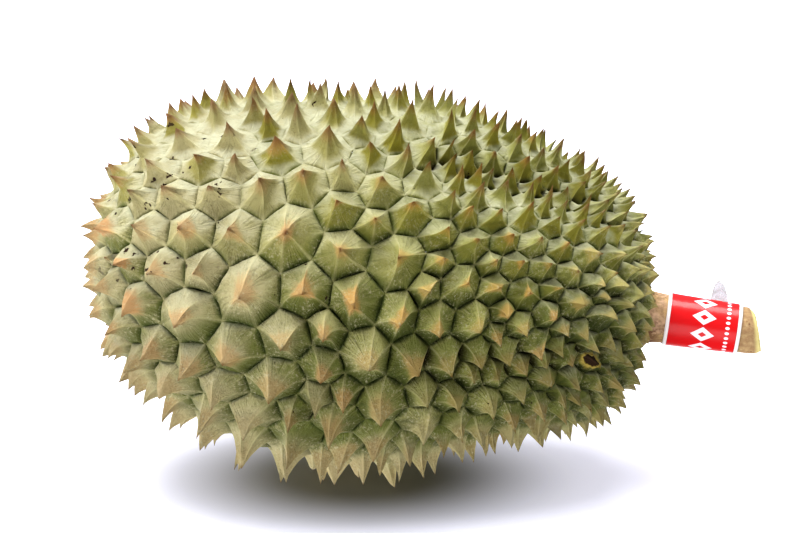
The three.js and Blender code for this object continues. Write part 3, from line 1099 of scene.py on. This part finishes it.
def makeFilm():
    plan = filmPlan
    rows, columns = plan["rows"], plan["columns"]
    radius = stemRadius(plan["along"]) + bandPlan["clearance"] + bandPlan["thickness"] + bandPlan["lap"]
    root = stemAxis.point(plan["along"], plan["root"], radius)
    outward = (root - stemAxis.point(plan["along"], 0, 0)).normalized()
    back = Vector((0, 1, 0))
    bend = root + outward * plan["rise"] * plan["bendAt"]
    top = root + Vector((0, 0, plan["rise"])) + back * plan["back"]
    points, faces = [], []
    for layer in (0, 1):
        for row in range(rows + 1):
            rise = row / rows
            middle = root.lerp(bend, rise).lerp(bend.lerp(top, rise), rise)
            along = (bend - root) * (1 - rise) + (top - bend) * rise
            facing = along.cross(stemAxis.along).normalized()
            narrowing = max((rise - plan["taperFrom"]) / (1 - plan["taperFrom"]), 0)
            taper = math.sqrt(max(1 - narrowing ** 1.6, 0.0004))
            for column in range(columns + 1):
                across = column / columns * 2 - 1
                place = middle + stemAxis.along * across * taper * plan["width"] / 2
                place += facing * (across * across * plan["dish"] * rise + plan["thickness"] * layer)
                points.append(place)
    wide = columns + 1
    count = wide * (rows + 1)
    for row in range(rows):
        for column in range(columns):
            corner = row * wide + column
            faces.append((corner, corner + 1, corner + wide + 1, corner + wide))
            faces.append(tuple(index + count for index in faces[-1][::-1]))
    rim = list(range(columns)) + [row * wide + columns for row in range(rows)]
    rim += [rows * wide + columns - step for step in range(columns)]
    rim += [(rows - row) * wide for row in range(rows)]
    for here, after in zip(rim, rim[1:] + rim[:1]):
        faces.append((after, here, here + count, after + count))
    film = newObject("film_tail", points, faces, filmMaterial())
    outwards(film.data)
    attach(film, "root")
    print("film:", len(film.data.polygons), "faces")


makeFilm()


view = {
    "elevation": 13.0,  # degrees that the camera looks down
    "distance": 0.924,
    "lens": 85.0,
    "sensor": 36.0,
    "imageWidth": 799,
    "fruitAt": (371.5, 278.5),  # where the fruit's middle shows in the image
    "imageMiddle": (399.5, 266.5),
}


def makeCamera():
    low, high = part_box("husk")
    middle = (Vector(low) + Vector(high)) / 2
    slope = math.radians(view["elevation"])
    forward = Vector((0, math.cos(slope), -math.sin(slope)))
    upward = Vector((0, math.sin(slope), math.cos(slope)))
    pixel = view["distance"] * view["sensor"] / view["lens"] / view["imageWidth"]
    right = (view["imageMiddle"][0] - view["fruitAt"][0]) * pixel
    up = (view["fruitAt"][1] - view["imageMiddle"][1]) * pixel
    target = middle + Vector((right, 0, 0)) + upward * up
    data = bpy.data.cameras.new("camera")
    data.lens = view["lens"]
    data.sensor_width = view["sensor"]
    camera = linked("camera", data)
    camera.location = target - forward * view["distance"]
    camera.rotation_euler = forward.to_track_quat("-Z", "Y").to_euler()
    bpy.context.scene.camera = camera


studio = {
    "key": 4.3,
    "keyFrom": (-0.1, 0.06, 1.0),
    "keySoftness": math.radians(46),
    "sky": 0.42,
    "horizon": 0.1,
    "left": 1.12,
    "bounce": 2.2,  # from the bright floor round the fruit,
    "underneath": 0.15,  # and from the floor in its shade
    "floorUnder": tint(120, 120, 122),  # the floor and its glow, under the fruit and beside it: a painted shadow under the fruit and painted light round it
    "floorBeside": tint(226, 227, 240),
    "glowUnder": tint(6, 6, 8),
    "glowBeside": tint(204, 204, 217),
    "shadeMiddle": (-0.031, -0.004, 0),
    "shadeSize": (7.9, 9.4, 0),  # one over the shaded oval's reach along X and Y
    # the painted shade lifts between two shares of that reach, from nothing to the last number
    "shadeCore": (0.25, 0.95, 0.0, 0.73),
    "shadeRim": (1.0, 2.0, 0.0, 0.27),
    "floorReach": 60.0,
}


def makeFloor():
    material, board, shader = newMaterial("paleFloor")
    # it glows a little, which is painted light that keeps the shadow light, and its colour and glow are
    # darker in an oval under the fruit, a painted shadow
    shifted = board.vector("SUBTRACT", board.coordinates(), studio["shadeMiddle"])
    away = board.vector("LENGTH", board.vector("MULTIPLY", shifted, studio["shadeSize"]), out="Value")
    beside = board.between(away, *studio["shadeCore"]) + board.between(away, *studio["shadeRim"])
    board.fill(shader, {
        "Base Color": board.blend(beside, studio["floorUnder"], studio["floorBeside"]),
        "Emission Color": board.blend(beside, studio["glowUnder"], studio["glowBeside"]),
        "Emission Strength": 1.0,
        "Roughness": 0.6,
    })
    reach = studio["floorReach"]
    corners = [(-reach, -reach, 0), (reach, -reach, 0), (reach, reach, 0), (-reach, reach, 0)]
    floor = newObject("floor", corners, [(0, 1, 2, 3)], material, smooth=False)
    # the bounce from below is the world's, so that it stays as soft from every side
    floor.visible_diffuse = False
    floor.visible_glossy = False
    floor.visible_shadow = False


def makeLight():
    data = bpy.data.lights.new("key", "SUN")
    data.energy = studio["key"]
    data.angle = studio["keySoftness"]
    lamp = linked("key", data)
    lamp.rotation_euler = (-Vector(studio["keyFrom"])).to_track_quat("-Z", "Y").to_euler()
    world = bpy.data.worlds.new("studio")
    world.use_nodes = True
    board = Board(world.node_tree)
    background = next(n for n in world.node_tree.nodes if n.type == "BACKGROUND")
    sideways, _, height = board.split(board.coordinates("Generated"))
    above = board.between(height, -0.1, 0.7) * (studio["sky"] - studio["horizon"])
    bounce = board.between(height, -0.5, -0.95, studio["bounce"], studio["underneath"])
    bounce = bounce * board.between(sideways, -0.7, 0.8, 1.0, 0.72)
    below = board.between(height, 0.02, -0.2) * (bounce - studio["horizon"])
    background.inputs["Color"].default_value = tint(250, 251, 255)
    left = board.between(sideways, 0.0, -0.9) * (studio["left"] - studio["horizon"])
    board.plug(background.inputs["Strength"], above + below + left + studio["horizon"])
    bpy.context.scene.world = world
    bpy.context.scene.view_settings.view_transform = "Standard"
    bpy.context.scene.view_settings.look = "Medium High Contrast"


makeCamera()
makeFloor()
makeLight()
print("stage set")
